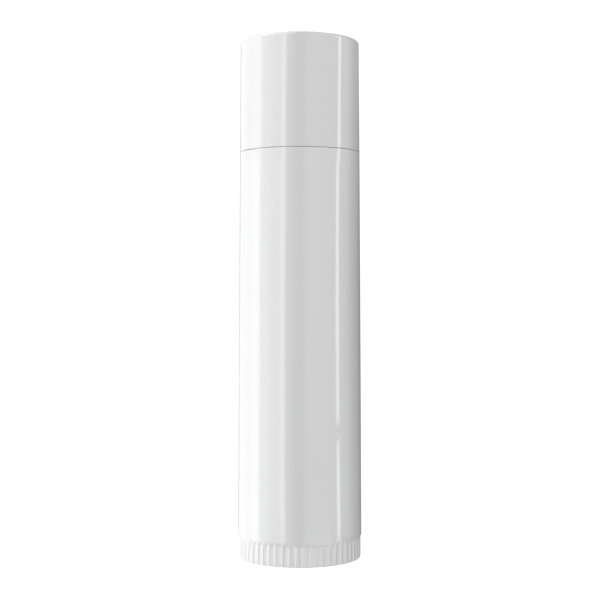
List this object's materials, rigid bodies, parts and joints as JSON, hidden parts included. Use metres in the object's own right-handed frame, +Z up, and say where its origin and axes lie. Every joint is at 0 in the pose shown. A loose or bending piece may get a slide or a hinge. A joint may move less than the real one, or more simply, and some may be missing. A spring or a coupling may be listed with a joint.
{
  "type": "lip balm",
  "caption": "Slim round push-up balm tube with a short push-on cap, a smooth glossy barrel and a ribbed thumb wheel that raises the wax stick on a threaded spindle.",
  "frame": {"origin": "centre of the thumb wheel's underside, on the surface that the tube stands on", "axes": "+Z up along the tube's axis, from the thumb wheel to the cap; the picture looks along +Y"},
  "size_m": [0.0164, 0.0164, 0.068],
  "materials": {
    "cap_plastic": "glossy moulded white polypropylene",
    "barrel_plastic": "glossy moulded white polypropylene",
    "wheel_plastic": "white polypropylene with a softer moulded gloss",
    "carrier_plastic": "plain moulded white polypropylene",
    "balm_wax": "smooth waxy cream balm"
  },
  "bodies": {
    "barrel": {"barrel": "barrel_plastic"},
    "thumb_wheel": {"thumb_wheel": "wheel_plastic"},
    "carrier": {"carrier": "carrier_plastic", "balm": "balm_wax"},
    "cap": {"cap": "cap_plastic"}
  },
  "joints": [
    {"name": "wheel_turn", "type": "hinge", "parent": "barrel", "child": "thumb_wheel", "pos_m": [0, 0, 0], "axis": [0, 0, 1], "range_deg": [0, 5280]},
    {"name": "carrier_lift", "type": "slide", "parent": "barrel", "child": "carrier", "axis": [0, 0, 1], "range_m": [0, 0.044]},
    {"name": "cap_pull", "type": "slide", "parent": "carrier", "child": "cap", "axis": [0, 0, 1], "range_m": [0, 0.025]}
  ],
  "couplings": [
    {"joint": "wheel_turn", "follows": "carrier_lift", "rad_per_m": 2094.4}
  ]
}
